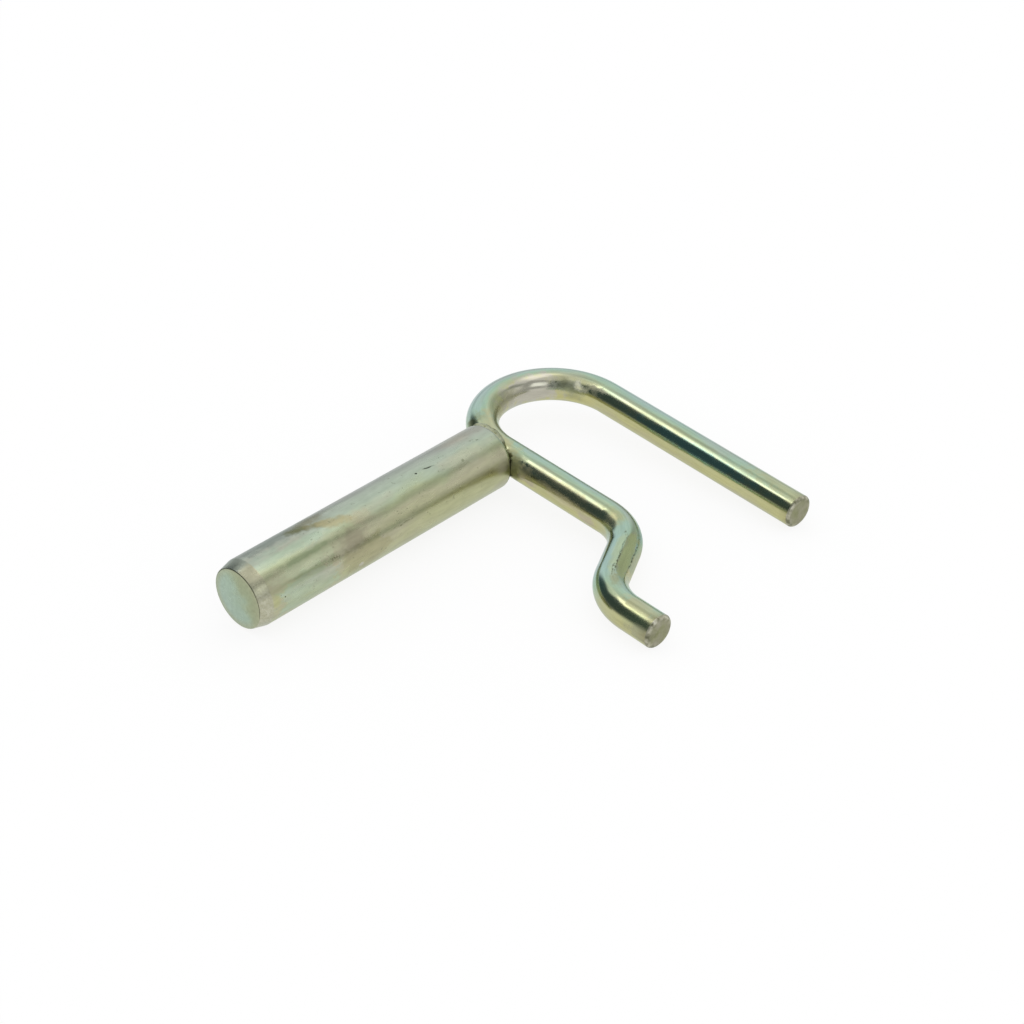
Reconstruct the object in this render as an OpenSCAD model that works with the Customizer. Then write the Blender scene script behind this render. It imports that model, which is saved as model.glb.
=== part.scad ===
// Lynch pin: a round steel pin welded end-on to a bent rod handle.
// Sizes are in millimetres. The pin's axis is the Y axis, with its tip towards -Y.
// The part lies as it comes to rest: on the pin's side and on the tail of the handle.

/* [Pin] */
// Diameter of the pin's shank
pin_d = 20; // [17:0.5:24]
// Length of the pin, end face to end face
pin_len = 95.5; // [70:0.5:130]
// Length of the tapered lead-in at the tip
tip_lead_len = 4; // [1:0.5:8]
// Depth of the lead-in, taken off the radius
tip_lead_depth = 1; // [0.4:0.1:3]
// Length of the edge break at the handle end
pin_edge_len = 0.8; // [0.7:0.1:1.5]
// Depth of that edge break, taken off the radius
pin_edge_depth = 0.4; // [0.2:0.1:1]

/* [Handle rod] */
// Diameter of the handle's rod
rod_d = 10; // [8.5:0.25:11.5]
// Bevel on the rod's sawn ends
rod_edge = 0.8; // [0.4:0.1:1.5]
// Centre-line radius of the loop
loop_bend_r = 22; // [18:0.5:30]
// Angle that the loop turns through
loop_angle = 181; // [178:0.5:184]
// Where the loop starts, measured along the short leg from the pin's axis
loop_start = 2; // [0:0.25:4]
// Straight length of the long leg
long_leg = 76.5; // [55:0.5:85]
// Straight length of the short leg, from the loop to the joggle
short_leg = 42; // [32:0.5:52]
// Centre-line radius of both joggle bends
joggle_bend_r = 16; // [13:0.5:20]
// Angle of each joggle bend
joggle_angle = 61; // [45:1:70]
// Straight length between the joggle bends
joggle_straight = 11.5; // [6:0.5:18]
// Straight length of the tail after the joggle
tail_len = 11; // [6:0.5:20]
// How much the rod's radius draws down where it is bent
bend_thinning = 0.02; // [0.01:0.005:0.05]

/* [Press flat] */
// Depth of the flat that the press left along the joggle
press_flat_depth = 0.36; // [0.1:0.02:0.5]
// Turn of the flat about the rod, outwards from the top of the handle, in degrees
press_flat_turn = 31; // [0:1:60]
// How far the flat runs on past each end of the joggle's straight length
press_flat_overrun = 2.5; // [0:0.25:3]

/* [Weld] */
// Lean of the pin from square to the short leg, in degrees
pin_lean = 2.2; // [0:0.1:2.5]
// Depth that the rod beds into the pin's end face, at the pin's axis
seat_depth = 0.2; // [0.1:0.05:0.25]
// Diameter of a weld bead ripple
bead_d = 6; // [5.4:0.1:6.6]
// Distance from one ripple to the next
bead_pitch = 1.9; // [1.5:0.1:2.8]
// Length of the weld along the rod, between the outer ripples' centres
weld_len = 7.5; // [5:0.5:10]
// Middle of the weld, measured along the short leg from the pin's axis
weld_middle = 0; // [-1.5:0.25:1]
// Height of the bead's middle above the pin's end face
bead_off_face = 1.7; // [1.4:0.1:2]
// Height of the bead's middle above the rod's skin
bead_off_rod = 1.1; // [0.8:0.1:1.4]
// How far the ripples swell and shrink, as a share of their diameter
bead_unevenness = 0.06; // [0:0.01:0.08]

/* [Hidden] */
$fn = 96;

pin_r = pin_d / 2;
rod_r = rod_d / 2;
bead_r = bead_d / 2;
// Length that a bend laps into each straight, short enough to stay within its skin
bend_lap = sqrt(bend_thinning * rod_r);

// The origin is on the pin's axis, halfway along the full-diameter shank
shank_len = pin_len - tip_lead_len - pin_edge_len;
end_face_y = shank_len / 2 + pin_edge_len;
rod_y = end_face_y + rod_r - seat_depth;

// Bending schedules from the start of the loop: straight length, bend radius, turn to the left
tail_run = [
    [short_leg, joggle_bend_r, -joggle_angle],
    [joggle_straight, joggle_bend_r, joggle_angle],
    [tail_len, 0, 0],
];
loop_run = [
    [0, loop_bend_r, -loop_angle],
    [long_leg, 0, 0],
];

// How far each leg's full-diameter end lies from the pin's axis, along X
steep = pin_lean + joggle_angle;
joggle_reach = 2 * joggle_bend_r * (sin(steep) - sin(pin_lean)) + joggle_straight * cos(steep);
tail_reach = (loop_start + short_leg + tail_len - rod_edge) * cos(pin_lean) + joggle_reach;
loop_reach = loop_bend_r * (sin(pin_lean) - sin(pin_lean + loop_angle));
long_heading = 180 - pin_lean - loop_angle;
long_reach = loop_start * cos(pin_lean) + loop_reach + (long_leg - rod_edge) * cos(long_heading);

// The handle tips about the pin's axis until its longer leg rests level with the pin's underside
reach = max(tail_reach, long_reach);
lie_angle = asin(pin_r / norm([reach, rod_r])) - atan2(rod_r, reach);

// The bead's middle lies in the corner between the rod's skin and the pin's end face
bead_below_rod = rod_r - seat_depth - bead_off_face;
bead_side = sqrt(pow(rod_r + bead_off_rod, 2) - pow(bead_below_rod, 2));
bead_steps = max(1, round(weld_len / bead_pitch));
// Turn from one ripple's swelling to the next, so that no two look alike
bead_phase = 137;

pin_colour = "#a9a88f";
handle_colour = "#9fa48c";
weld_colour = "#7f7f6a";

// A straight length of rod along +X
module straight(length) {
    rotate([0, 90, 0])
        cylinder(r = rod_r, h = length);
}

// A straight length of rod along +X that is sawn and bevelled at its far end
module sawn_straight(length) {
    outline = [[0, 0], [rod_r, 0], [rod_r, length - rod_edge], [rod_r - rod_edge, length], [0, length]];
    rotate([0, 90, 0])
        rotate_extrude()
            polygon(outline);
}

// A bend of the rod that starts along +X and turns left by a positive angle, right by a negative one.
// Its drawn-down section laps into the straight lengths before and after it.
module bend(radius, turn) {
    lap = bend_lap / radius * 180 / PI;
    from = turn > 0 ? -90 : 90 + turn;
    translate([0, sign(turn) * radius, 0])
        rotate_extrude(start = from - lap, angle = abs(turn) + 2 * lap)
            translate([radius, 0])
                circle(r = rod_r - bend_thinning);
}

// The slab that the press flat takes off, seen from the start of the joggle's straight length
module press_slab() {
    flat_len = joggle_straight + 2 * press_flat_overrun;
    rotate([-press_flat_turn, 0, 0])
        translate([-press_flat_overrun, -rod_d, rod_r - press_flat_depth])
            cube([flat_len, 2 * rod_d, rod_d]);
}

// Whatever is placed at the end of the first joggle bend, seen from the start of the short leg
module after_first_joggle_bend() {
    translate([short_leg, -joggle_bend_r, 0])
        rotate(-joggle_angle)
            translate([0, joggle_bend_r, 0])
                children();
}

// The rod along a bending schedule, one step after another
module bent_rod(schedule, step = 0) {
    length = schedule[step][0];
    radius = schedule[step][1];
    turn = schedule[step][2];
    centre = [length, sign(turn) * radius, 0];
    last = step == len(schedule) - 1;
    if (last)
        sawn_straight(length);
    else {
        if (length > 0)
            straight(length);
        translate([length, 0, 0])
            bend(radius, turn);
        translate(centre)
            rotate(turn)
                translate([0, -centre.y, 0])
                    bent_rod(schedule, step + 1);
    }
}

// The whole rod where it lies, with the lean at the weld
module rod() {
    rotate([0, lie_angle, 0])
        translate([0, rod_y, 0])
            rotate(-pin_lean)
                translate([loop_start, 0, 0])
                    difference() {
                        union() {
                            bent_rod(tail_run);
                            rotate(180)
                                bent_rod(loop_run);
                        }
                        after_first_joggle_bend()
                            press_slab();
                    }
}

// The turned bar before it is bedded on the rod
module pin_bar() {
    shank_start = pin_edge_len;
    shank_end = pin_len - tip_lead_len;
    outline = [
        [0, 0],
        [pin_r - pin_edge_depth, 0],
        [pin_r, shank_start],
        [pin_r, shank_end],
        [pin_r - tip_lead_depth, pin_len],
        [0, pin_len],
    ];
    translate([0, end_face_y, 0])
        rotate([90, 0, 0])
            rotate_extrude()
                polygon(outline);
}

// One row of overlapping ripples in the corner above the rod
module bead_row() {
    for (k = [0 : bead_steps]) {
        along = weld_middle + weld_len * (k / bead_steps - 1 / 2);
        swell = 1 + bead_unevenness * sin(bead_phase * k);
        translate([along, end_face_y + bead_off_face, bead_side])
            sphere(r = bead_r * swell);
    }
}

module pin() {
    color(pin_colour)
        difference() {
            pin_bar();
            rod();
        }
}

module handle() {
    color(handle_colour)
        rod();
}

module weld() {
    color(weld_colour)
        difference() {
            rotate([0, lie_angle, 0]) {
                bead_row();
                mirror([0, 0, 1])
                    bead_row();
            }
            rod();
            pin_bar();
        }
}

pin();
handle();
weld();
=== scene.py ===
"""Lynch pin: a round plated steel pin that is welded end-on to a bent rod handle, in metres."""
import math
from typing import NamedTuple

import bmesh
import bpy
from bpy.props import FloatProperty, FloatVectorProperty, IntProperty, PointerProperty
from mathutils import Matrix, Vector


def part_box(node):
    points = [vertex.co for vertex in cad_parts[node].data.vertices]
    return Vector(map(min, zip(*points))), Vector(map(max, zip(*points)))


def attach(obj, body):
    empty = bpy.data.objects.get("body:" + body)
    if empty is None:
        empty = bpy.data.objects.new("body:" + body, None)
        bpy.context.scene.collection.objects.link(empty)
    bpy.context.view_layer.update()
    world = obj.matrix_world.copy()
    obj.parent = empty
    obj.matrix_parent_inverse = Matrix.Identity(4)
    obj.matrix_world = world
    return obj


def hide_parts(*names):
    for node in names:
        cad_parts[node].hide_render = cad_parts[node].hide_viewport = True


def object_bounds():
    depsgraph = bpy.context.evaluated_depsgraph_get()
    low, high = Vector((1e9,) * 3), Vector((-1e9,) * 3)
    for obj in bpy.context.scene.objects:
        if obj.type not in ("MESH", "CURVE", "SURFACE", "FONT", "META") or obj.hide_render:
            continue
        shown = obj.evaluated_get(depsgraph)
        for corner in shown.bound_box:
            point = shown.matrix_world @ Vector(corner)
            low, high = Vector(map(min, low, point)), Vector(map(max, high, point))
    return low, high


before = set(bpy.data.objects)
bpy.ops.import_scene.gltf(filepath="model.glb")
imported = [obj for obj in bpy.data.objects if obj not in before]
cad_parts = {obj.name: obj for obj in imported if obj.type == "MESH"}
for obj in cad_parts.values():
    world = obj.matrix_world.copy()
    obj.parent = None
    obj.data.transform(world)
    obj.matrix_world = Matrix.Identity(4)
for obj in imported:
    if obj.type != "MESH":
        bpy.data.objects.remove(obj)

bl_info = {
    "name": "Lynch Pin",
    "version": (1, 0, 0),
    "blender": (4, 5, 0),
    "location": "View3D > Sidebar > Lynch Pin",
    "description": "Dresses a zinc-plated lynch pin with a welded rod handle",
    "category": "Add Mesh",
}

CAD_BOX = [list(corner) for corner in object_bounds()]
PIN_LOW, PIN_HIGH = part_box("pin")
BODY = "root"


def length(name, text, default):
    """A size in metres."""
    return FloatProperty(name=name, description=text, default=default, unit="LENGTH", precision=5)


def angle(name, text, degrees):
    """A turn, given in degrees and kept in radians."""
    return FloatProperty(name=name, description=text, default=math.radians(degrees), subtype="ANGLE")


def share(name, text, default):
    """A plain number without a unit."""
    return FloatProperty(name=name, description=text, default=default, precision=3)


def colour(name, text, default):
    """A linear colour."""
    return FloatVectorProperty(
        name=name, description=text, default=default, subtype="COLOR", size=3, min=0.0, max=1.0
    )


def place(name, text, default):
    """A point or an offset in metres."""
    return FloatVectorProperty(
        name=name, description=text, default=default, subtype="TRANSLATION", size=3, precision=5
    )


class PinSettings(bpy.types.PropertyGroup):
    """The turned pin."""

    radius: length("Radius", "Radius of the shank", (PIN_HIGH.x - PIN_LOW.x) / 2)
    end_face: length("End face", "Where the face under the handle lies along Y", PIN_HIGH.y)
    tip: length("Tip", "Where the tip's face lies along Y", PIN_LOW.y)
    lead_length: length("Lead-in length", "Length of the taper at the tip", 0.004)
    lead_depth: length("Lead-in depth", "Depth of the taper at the tip", 0.001)
    break_length: length("Edge break length", "Length of the edge break under the handle", 0.0008)
    break_depth: length("Edge break depth", "Depth of the edge break under the handle", 0.0004)
    edge_round: length("Edge rounding", "Rounding that tumbling left on the turned edges", 0.00018)
    sides: IntProperty(name="Sides", description="Facets round the pin", default=192, min=24)


class HandleSettings(bpy.types.PropertyGroup):
    """The bent rod, described by its bending schedule from the start of the loop."""

    rod_diameter: length("Rod diameter", "Diameter of the rod", 0.010)
    sawn_bevel: length("Sawn bevel", "Bevel on the sawn ends, and the distance between rings", 0.0008)
    long_leg: length("Long leg", "Straight length of the free leg", 0.0765)
    loop_radius: length("Loop radius", "Centre-line radius of the loop", 0.022)
    loop_angle: angle("Loop angle", "Turn of the loop", 181)
    short_leg: length("Short leg", "Straight length from the loop to the joggle", 0.042)
    joggle_radius: length("Joggle radius", "Centre-line radius of both joggle bends", 0.016)
    joggle_angle: angle("Joggle angle", "Turn of each joggle bend", 61)
    joggle_straight: length("Joggle straight", "Straight length between the joggle bends", 0.0115)
    tail: length("Tail", "Straight length after the joggle", 0.011)
    loop_start: length("Loop start", "Start of the loop along the short leg, from the pin's axis", 0.002)
    seat_depth: length("Seat depth", "How far the rod beds into the pin's end face", 0.0002)
    lean: angle("Lean", "Lean of the pin from square to the short leg", 2.2)
    lie: angle("Lie", "Tip of the handle about the pin, at rest", 3.312)
    flat_depth: length("Press flat depth", "Depth of the flat that the press left", 0.00036)
    flat_turn: angle("Press flat turn", "Turn of the flat, outwards from the handle's top", 31)
    flat_lead: length("Press flat lead", "How far the flat starts before the joggle's straight", 0.004)
    flat_run: length("Press flat run", "How far the flat runs into the second joggle bend", 0.0085)
    unevenness: length("Unevenness", "Depth of the slow waves in the drawn rod", 0.00003)
    thinning: length("Bend thinning", "How much the rod's radius draws down in its bends", 0.00002)
    sides: IntProperty(name="Sides", description="Facets round the rod", default=112, min=24)


class WeldSettings(bpy.types.PropertyGroup):
    """The fillet welds between the rod and the pin's end face."""

    bead: length("Bead", "Diameter of a ripple", 0.006)
    pitch: length("Pitch", "Distance from one ripple to the next", 0.0015)
    run: length("Run", "Length of the weld between its outer ripples", 0.0075)
    off_face: length("Off the face", "Height of the bead's middle above the pin's end face", 0.0017)
    off_rod: length("Off the rod", "Height of the bead's middle above the rod's skin", 0.0014)
    middle: length("Middle", "Middle of the weld along the rod, from the pin's axis", -0.0013)
    unevenness: share("Unevenness", "Swelling of the ripples, as a share of their size", 0.06)
    run_out: share("Run-out", "How far the outer ripples shrink, as a share of their size", 0.20)
    climb: length("Climb", "How far the weld climbs from the rod towards the pin's rim", -0.0006)
    sink: length("Sink", "How far the weld sinks towards the pin's end face", 0.0002)
    voxel: length("Voxel", "Cell size at which the ripples melt together", 0.00018)


class FinishSettings(bpy.types.PropertyGroup):
    """The colours of the plating and of what lies on it."""

    edge_tint: colour("Edge tint", "Tint of the metal where it turns away from the eye", (0.84, 0.88, 0.87))
    blush: colour("Blush", "Warm patches in the film", (0.450, 0.410, 0.325))
    # Painted shade for the dark gap and corner where the rod meets the pin's end face
    gap_shade: colour("Soot", "Burnt corners at the weld", (0.020, 0.020, 0.008))
    rod_gold: colour("Rod gold", "Film on the rod's lowest side", (0.490, 0.475, 0.225))
    rod_straw: colour("Rod straw", "Film on the rod below its middle", (0.472, 0.482, 0.295))
    rod_leaf: colour("Rod leaf", "Film on the rod's middle", (0.420, 0.500, 0.340))
    rod_green: colour("Rod green", "Film on the rod above its middle", (0.370, 0.510, 0.375))
    rod_teal: colour("Rod teal", "Film on the rod's upper side", (0.365, 0.510, 0.435))
    rod_ice: colour("Rod ice", "Film on the rod's highest side", (0.400, 0.505, 0.480))
    pin_gold: colour("Pin gold", "Film on the pin's lowest side", (0.455, 0.465, 0.275))
    pin_straw: colour("Pin straw", "Film on the pin's lower side", (0.450, 0.445, 0.300))
    pin_olive: colour("Pin olive", "Film on the pin below its middle", (0.425, 0.465, 0.290))
    pin_leaf: colour("Pin leaf", "Film on the pin's middle", (0.430, 0.500, 0.355))
    pin_sage: colour("Pin sage", "Film on the pin above its middle", (0.418, 0.492, 0.395))
    pin_stone: colour("Pin stone", "Film on the pin's upper side", (0.410, 0.460, 0.390))
    pin_grey: colour("Pin grey", "Film near the pin's highest side", (0.366, 0.384, 0.344))
    pin_mauve: colour("Pin mauve", "Film on the pin's highest side", (0.356, 0.360, 0.336))
    end_brown: colour("End brown", "Stretch before the rod's sawn ends", (0.300, 0.275, 0.150))
    edge_dark: colour("Edge dark", "Dark mottling round the sawn ends", (0.200, 0.200, 0.125))
    edge_light: colour("Edge light", "Light mottling round the sawn ends", (0.510, 0.495, 0.380))
    # Painted highlight where the key light catches the top of the edge round the sawn ends
    edge_glint: colour("Edge glint", "Rubbed top of the edge round the sawn ends", (0.820, 0.800, 0.680))
    sawn_dark: colour("Sawn dark", "Dark clouds on the sawn faces", (0.280, 0.285, 0.160))
    sawn_light: colour("Sawn light", "Light clouds on the sawn faces", (0.360, 0.342, 0.258))
    lead_dark: colour("Lead-in dark", "Dark speckle on the lead-in", (0.405, 0.400, 0.280))
    lead_light: colour("Lead-in light", "Light speckle on the lead-in", (0.500, 0.495, 0.380))
    # A darker tone on the lead-in's upper left
    lead_shade: colour("Lead-in shade", "Stain on the lead-in's upper left", (0.270, 0.300, 0.255))
    tip_teal: colour("Tip teal", "Left of the tip's face", (0.380, 0.480, 0.395))
    tip_green: colour("Tip green", "Middle of the tip's face", (0.368, 0.466, 0.362))
    tip_olive: colour("Tip olive", "Right of the tip's face", (0.348, 0.400, 0.262))
    tip_shade: colour("Tip shade", "Far right of the tip's face", (0.330, 0.355, 0.220))
    tip_ring: colour("Tip ring", "Ring round the tip's face", (0.385, 0.405, 0.268))
    # A dark burr with painted shade along it on the tip's edge
    burr_and_shade: colour("Burr", "Dark burr on the tip's edge", (0.055, 0.055, 0.030))
    pit: colour("Pit", "Small pits all over the pin", (0.150, 0.160, 0.105))
    weld_dark: colour("Weld dark", "Hollows of the weld", (0.22, 0.23, 0.12))
    weld_olive: colour("Weld olive", "Most of the weld", (0.40, 0.42, 0.28))
    weld_light: colour("Weld light", "Crests of the weld", (0.48, 0.50, 0.38))


class StageSettings(bpy.types.PropertyGroup):
    """The camera and the studio."""

    azimuth: angle("Azimuth", "Where the camera stands round the part, 0 being in front", 43.83)
    elevation: angle("Elevation", "Height of the camera above the horizon", 34.33)
    roll: angle("Roll", "Turn of the camera about its own axis", -0.46)
    distance: length("Distance", "Distance of the camera from its target", 0.6186)
    target: place("Target", "What the camera looks at", (0.0230, 0.0302, -0.0013))
    lens: share("Lens", "Focal length in millimetres", 77.20)
    shift: FloatVectorProperty(
        name="Shift", description="Lens shift, as shares of the frame", size=2, default=(0.0052, 0.0006)
    )
    table_size: length("Table size", "Width of the table", 8.0)
    table_glow: share("Table glow", "Share of the table's white that doesn't depend on the lamps", 0.86)
    ambient: share("Ambient", "Strength of the light that the whole room gives", 1.0)


def opaque(shade):
    """A colour with full alpha, or a socket as it is."""
    return shade if isinstance(shade, bpy.types.NodeSocket) else (*shade, 1.0)


class Graph:
    """Adds nodes to one tree, links sockets and sets plain values straight on them."""

    def __init__(self, tree):
        self.tree = tree

    def feed(self, socket, value):
        if isinstance(value, bpy.types.NodeSocket):
            self.tree.links.new(value, socket)
        else:
            socket.default_value = value

    def add(self, kind, inputs=None, **settings):
        node = self.tree.nodes.new(kind)
        for name, value in settings.items():
            setattr(node, name, value)
        for key, value in (inputs or {}).items():
            self.feed(node.inputs[key], value)
        return node

    def math(self, operation, *values):
        return self.add("ShaderNodeMath", dict(enumerate(values)), operation=operation).outputs[0]

    def plus(self, first, second):
        return self.math("ADD", first, second)

    def minus(self, first, second):
        return self.math("SUBTRACT", first, second)

    def times(self, first, second):
        return self.math("MULTIPLY", first, second)

    def over(self, first, second):
        return self.math("DIVIDE", first, second)

    def raised(self, value, mask, amount):
        """A value with an amount added where a mask shows."""
        return self.math("MULTIPLY_ADD", mask, amount, value)

    def vector(self, operation, *values):
        node = self.add("ShaderNodeVectorMath", dict(enumerate(values)), operation=operation)
        return node.outputs["Value" if operation in {"DOT_PRODUCT", "LENGTH"} else "Vector"]

    def scaled(self, vector, factor):
        node = self.add("ShaderNodeVectorMath", {0: vector, "Scale": factor}, operation="SCALE")
        return node.outputs["Vector"]

    def combine(self, x, y, z):
        return self.add("ShaderNodeCombineXYZ", {0: x, 1: y, 2: z}).outputs[0]

    def split(self, vector):
        return self.add("ShaderNodeSeparateXYZ", {0: vector}).outputs

    def remap(self, value, low, high, to_low=0.0, to_high=1.0, kind="LINEAR"):
        inputs = {"Value": value, "From Min": low, "From Max": high, "To Min": to_low, "To Max": to_high}
        return self.add("ShaderNodeMapRange", inputs, interpolation_type=kind).outputs["Result"]

    def window(self, value, low, high, soft):
        """1 between low and high, with smooth edges that are soft wide."""
        rise = self.remap(value, low, self.plus(low, soft), kind="SMOOTHSTEP")
        fall = self.remap(value, self.minus(high, soft), high, 1.0, 0.0, "SMOOTHSTEP")
        return self.times(rise, fall)

    def sector(self, turn, low, high, soft):
        """A window on a turn, with its limits in degrees."""
        return self.window(turn, *map(math.radians, (low, high, soft)))

    def noise(self, vector, scale, detail=2.0, roughness=0.5):
        inputs = {"Vector": vector, "Scale": scale, "Detail": detail, "Roughness": roughness}
        return self.add("ShaderNodeTexNoise", inputs).outputs["Fac"]

    def mixed(self, factor, first, second):
        inputs = {0: factor, 6: opaque(first), 7: opaque(second)}
        return self.add("ShaderNodeMix", inputs, data_type="RGBA").outputs[2]

    def ramp(self, factor, stops):
        node = self.add("ShaderNodeValToRGB", {0: factor})
        elements = node.color_ramp.elements
        while len(elements) < len(stops):
            elements.new(1.0)
        for element, (position, shade) in zip(elements, stops):
            element.position = position
            element.color = (*shade, 1.0)
        return node.outputs["Color"]

    def bump(self, height, strength, distance):
        inputs = {"Height": height, "Strength": strength, "Distance": distance}
        return self.add("ShaderNodeBump", inputs).outputs["Normal"]

    def geometry(self, kind, inputs=None, **settings):
        """The first output of a geometry node."""
        return self.add("GeometryNode" + kind, inputs, **settings).outputs[0]


# The side where the film is thinnest and most teal; the colour by side also paints in the reflection that
# the studio gives there
FILM_AND_REFLECTION_SIDE = (-0.80, 0.45, 0.40)
# Where along the film's range each colour of the finish lies
ROD_FILM = (
    (0.00, "rod_gold"),
    (0.45, "rod_straw"),
    (0.60, "rod_leaf"),
    (0.70, "rod_green"),
    (0.82, "rod_teal"),
    (0.95, "rod_ice"),
)
PIN_FILM = (
    (0.10, "pin_gold"),
    (0.28, "pin_straw"),
    (0.40, "pin_olive"),
    (0.48, "pin_leaf"),
    (0.60, "pin_sage"),
    (0.73, "pin_stone"),
    (0.83, "pin_grey"),
    (0.92, "pin_mauve"),
)
TIP_FILM_RANGE = (-1.0, 1.0)
TIP_FILM = ((0.20, "tip_teal"), (0.48, "tip_green"), (0.68, "tip_olive"), (0.88, "tip_shade"))
WELD_MOTTLE = ((0.30, "weld_dark"), (0.44, "weld_olive"), (0.70, "weld_light"))


class Mark(NamedTuple):
    """A mark on a bar, from stains, rubs, scratches and pits to painted highlights and shade: its place and
    half sizes in millimetres, and what it does.
    """

    along: float
    degrees_round: float
    half_length: float
    half_width: float
    colour: tuple = None
    strength: float = 0.0
    soft: float = 0.8
    slant: float = 0.0
    film: float = 0.0
    haze: float = 0.0
    relief: float = 0.0
    broken: bool = False


# Painted shade for the dark gap between the rod and the pin's end face
MARK_GAP_SHADE = (0.020, 0.020, 0.008)
DARK_LINE = (0.085, 0.095, 0.050)
ROD_MARKS = (
    Mark(-110, -50, 36, 2.2, (0.24, 0.47, 0.43), 0.7, soft=0.7),
    Mark(-105, -21, 38, 1.4, (0.405, 0.43, 0.265), 0.6, soft=0.9),
    Mark(-143, 10, 21, 5.4, (0.44, 0.45, 0.265), 0.75, soft=0.6),
    Mark(-40, -70, 20, 6.6, (0.475, 0.458, 0.41), 0.85, soft=0.5),
    Mark(-31, -54, 6.2, 2.2, (0.3, 0.295, 0.185), 0.75, soft=0.9),
    Mark(-26.5, -73, 15.5, 3.4, (0.44, 0.43, 0.32), 0.5, haze=0.3),
    # The loop's die mark: hazy, with painted highlights where the key light catches its dents
    Mark(-57.5, -58, 12, 3.4, (0.52, 0.54, 0.38), 0.8, soft=0.9, haze=0.32),
    Mark(-62.5, -59, 4, 1.6, (0.6, 0.6, 0.48), 0.8, soft=0.9, haze=0.25),
    Mark(-66.6, -50, 6.4, 2.1, (0.62, 0.6, 0.44), 0.7, soft=0.9, haze=0.3),
    Mark(-60.2, -54, 2.4, 1.9, (1, 0.985, 0.82), 1, haze=0.3),
    Mark(-59, -88, 5.2, 2.8, (0.33, 0.335, 0.19), 0.6),
    Mark(-53, -38, 5, 1.4, (0.33, 0.33, 0.23), 0.6, soft=0.9),
    # Painted highlight where the loop's highlight starts
    Mark(-69, -41, 5, 1.2, (0.6, 0.58, 0.44), 0.6, soft=0.9, haze=0.2),
    Mark(-54.5, -48, 2.2, 2.6, (0.27, 0.28, 0.16), 0.7),
    Mark(-5, 0, 15, 5.8, soft=0.6, film=-0.3),
    # Painted shade that the pin's end casts and mirrors onto the loop just beyond its rim
    Mark(-12.6, 46, 3, 2.8, (0.11, 0.135, 0.062), 0.95, soft=0.9, haze=0.15),
    Mark(-12.4, 58, 2.7, 2, (0.14, 0.16, 0.08), 0.85),
    Mark(-13.5, 16, 3.6, 2.6, (0.27, 0.3, 0.19), 0.6, soft=0.9),
    # Painted shade in the gap between the rod and the pin's end face
    Mark(3.6, 84, 4.6, 4.6, MARK_GAP_SHADE, 0.97, soft=0.35, haze=0.4),
    Mark(7.5, 26, 6, 2.4, haze=0.35),
    Mark(9.2, 66, 5, 4.2, (0.43, 0.44, 0.225), 0.8, haze=0.42),
    # Painted shade at the top of that gap
    Mark(6, 45, 1.3, 1.5, (0.06, 0.06, 0.018), 0.9, soft=0.6),
    Mark(13.8, 60, 4, 2.2, (0.46, 0.43, 0.32), 0.6, soft=0.9, haze=0.22),
    # Painted shade that widens that gap lower down
    Mark(9.8, 98, 2.8, 4, (0.2, 0.205, 0.08), 0.8, soft=0.7, haze=0.2),
    Mark(15, 84, 4.5, 1.8, (0.4, 0.355, 0.27), 0.7, soft=0.5),
    Mark(28, 52, 19, 3.4, (0.52, 0.47, 0.28), 0.8, soft=0.7, haze=0.06),
    Mark(27, 66, 15, 1.3, (0.52, 0.48, 0.3), 0.6, haze=0.24),
    Mark(47.8, 18, 6.8, 3, (0.43, 0.445, 0.245), 0.8),
    # Painted highlight where the key light runs along the first joggle bend
    Mark(48.2, 24, 3.4, 1.1, (0.6, 0.59, 0.34), 0.7),
    Mark(49, 42, 6.2, 2.4, (0.56, 0.51, 0.31), 0.7, soft=0.9, haze=0.14),
    Mark(39, 96, 4, 1.8, (0.44, 0.39, 0.3), 0.7, soft=0.5),
    Mark(61, -78, 18, 4.2, soft=0.6, film=0.6, haze=0.26),
    Mark(66, 28, 13.5, 2.4, (0.35, 0.52, 0.47), 0.6, soft=0.7),
    Mark(66, 4, 13, 1.6, (0.44, 0.51, 0.31), 0.6, soft=0.7),
    Mark(66.5, -31, 12.5, 1.9, (0.47, 0.525, 0.285), 0.85, soft=0.25, haze=0.05),
    Mark(66.5, -8, 12, 0.42, DARK_LINE, 0.9, soft=0.7, relief=-0.5, broken=True),
    Mark(64, -54, 9, 0.3, DARK_LINE, 0.9, soft=0.7, relief=-0.4, broken=True),
    Mark(73.5, -1, 6, 0.32, DARK_LINE, 0.8, soft=0.7, slant=4, broken=True),
    Mark(56.5, 1, 1.8, 0.6, DARK_LINE, 0.7, soft=0.7, relief=-0.5, broken=True),
    Mark(78.5, -4, 4.2, 2.4, (0.325, 0.34, 0.2), 0.7),
    Mark(81.2, 24, 3.4, 1.6, (0.3, 0.37, 0.255), 0.7, soft=0.9),
    Mark(92.5, 8, 8.5, 6.6, soft=0.6, film=-0.26),
    Mark(94, 52, 7.5, 3, (0.43, 0.51, 0.29), 0.6, soft=0.7, haze=0.05),
    Mark(96, 84, 6.5, 3.8, (0.35, 0.355, 0.24), 0.7, soft=0.6, haze=0.15),
)
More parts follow.
